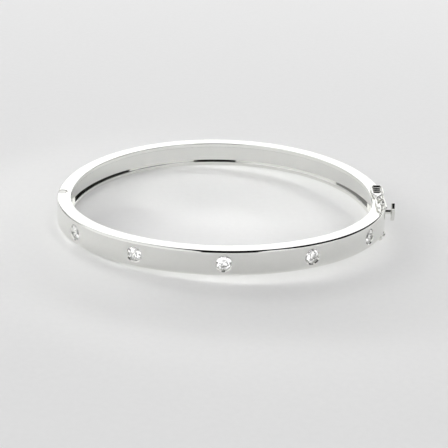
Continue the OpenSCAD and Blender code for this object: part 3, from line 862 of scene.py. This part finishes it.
def cloth(name, azimuths, elevations, radius, glow, over=False, seen_by=(), floor_glow=False):
    """A curved panel of the light tent round the bracelet: it glows, or is black where glow is 0.
    Only the kinds of ray in seen_by meet it. With floor_glow it lights the floor by way of the
    polished metal, and is otherwise not there."""
    bm = bmesh.new()
    (a0, a1), (e0, e1) = azimuths, elevations
    nu, nv = max(2, round((a1 - a0) / 6)), max(2, round((e1 - e0) / 6))
    rows = [[bm.verts.new(radius * direction(a0 + (a1 - a0) * i / nu, e0 + (e1 - e0) * j / nv, over))
             for i in range(nu + 1)] for j in range(nv + 1)]
    for r0, r1 in zip(rows, rows[1:]):
        for i in range(nu):
            bm.faces.new((r0[i], r0[i + 1], r1[i + 1], r1[i]))
    ob = new_object(name, bm)
    m = bpy.data.materials.new(name + "_cloth")
    m.use_nodes = True
    nt = m.node_tree
    nt.nodes.clear()
    out = nt.nodes.new("ShaderNodeOutputMaterial")
    if glow:
        shader = nt.nodes.new("ShaderNodeEmission")
        shader.inputs["Strength"].default_value = glow
        if floor_glow:
            bounced = nt.nodes.new("ShaderNodeLightPath").outputs["Diffuse Depth"]
            lit = math_node(nt, "GREATER_THAN", bounced, 0.5)
            link(nt, math_node(nt, "MULTIPLY", lit, glow), shader.inputs["Strength"])
            clear = nt.nodes.new("ShaderNodeBsdfTransparent")
            mix = nt.nodes.new("ShaderNodeMixShader")
            link(nt, lit, mix.inputs["Fac"])
            link(nt, clear.outputs[0], mix.inputs[1])
            link(nt, shader.outputs[0], mix.inputs[2])
            shader = mix
    else:
        shader = nt.nodes.new("ShaderNodeBsdfDiffuse")
        shader.inputs["Color"].default_value = colour(0.008, 0.008, 0.008)
    nt.links.new(shader.outputs[0], out.inputs["Surface"])
    ob.data.materials.append(m)
    ob.visible_camera = ob.visible_shadow = False
    ob.visible_diffuse = "diffuse" in seen_by
    ob.visible_glossy = "glossy" in seen_by
    ob.visible_transmission = "transmission" in seen_by
    return ob


floor_only, mirror, glass_only = ("diffuse",), ("glossy",), ("transmission",)
# name, azimuths, elevations, radius in metres, glow
cloth("key_back", (125, 235), (11.5, 16), 1.0, 27, seen_by=floor_only)
cloth("front_light", (-110, 110), (15, 38), 1.0, 1.55, seen_by=floor_only)
cloth("top_light", (-180, 180), (65, 90), 1.1, 1.1, seen_by=floor_only)
cloth("bounce", (-120, 66), (6, 13), 0.86, 19, seen_by=mirror, floor_glow=True)
cloth("tent_back", (118, 242), (5, 40), 1.05, 1.35, seen_by=mirror)
cloth("tent_left", (-150, -10), (2, 60), 1.0, 1.0, seen_by=mirror)
cloth("tent_front", (-10, 19), (2, 30), 1.0, 1.0, seen_by=mirror)
cloth("tent_right", (19, 48), (2, 60), 1.0, 1.0, seen_by=mirror)
cloth("tent_right_low", (48, 118), (2, 30), 1.0, 1.0, seen_by=mirror)
cloth("tent_top", (190, 350), (40, 90), 1.0, 0.85, seen_by=mirror)
cloth("left_gap", (-150, -100), (14, 32), 0.9, 0.25, seen_by=mirror)
cloth("tent_slit", (-10, 19), (15, 140), 0.9, 0, over=True, seen_by=mirror)
cloth("clasp_side", (48, 150), (30, 84), 0.9, 0, seen_by=mirror)
cloth("clasp_side_low", (75, 150), (19.5, 30), 0.9, 0, seen_by=mirror)
cloth("sparkle_dark", (-180, 180), (0, 90), 0.92, 0, seen_by=glass_only)
for low in range(3, 80, 17):
    cloth("sparkle_%d" % low, (-140, 140), (low, low + 10), 0.88, 2.2, seen_by=glass_only)

# enough reflections for the metal and stones, and none of the floor light blurred or clamped away
scene.cycles.max_bounces = 48
scene.cycles.glossy_bounces = 32
scene.cycles.transmission_bounces = 32
scene.cycles.blur_glossy = 0
scene.cycles.sample_clamp_indirect = 0

world = bpy.data.worlds.new("studio")
scene.world = world
world.use_nodes = True
world.node_tree.nodes["Background"].inputs["Color"].default_value = colour(1, 1, 1)
world.node_tree.nodes["Background"].inputs["Strength"].default_value = 0.2


def camera():
    """The photograph's viewpoint, fitted to the band's edges (radians and metres)."""
    yaw, el, distance, roll = 0.0259, 0.4224, 0.2889, 0.0253
    aim = Vector((0, 0, -HALF_H))
    fwd = Vector((math.sin(yaw) * math.cos(el), math.cos(yaw) * math.cos(el), -math.sin(el)))
    right = Vector((math.cos(yaw), -math.sin(yaw), 0))
    up = right.cross(fwd)
    r1 = math.cos(roll) * right + math.sin(roll) * up
    u1 = -math.sin(roll) * right + math.cos(roll) * up
    cam = bpy.data.cameras.new("camera")
    cam.lens, cam.sensor_width = 118.45, 36
    cam.shift_x, cam.shift_y = 0.00607, -0.01125
    cam.clip_start, cam.clip_end = 0.01, 20
    ob = bpy.data.objects.new("camera", cam)
    scene.collection.objects.link(ob)
    m = Matrix.Identity(3)
    m.col[0], m.col[1], m.col[2] = r1, u1, -fwd
    ob.matrix_world = Matrix.Translation(aim - fwd * distance) @ m.to_4x4()
    scene.camera = ob


camera()
scene.view_settings.view_transform = "Standard"
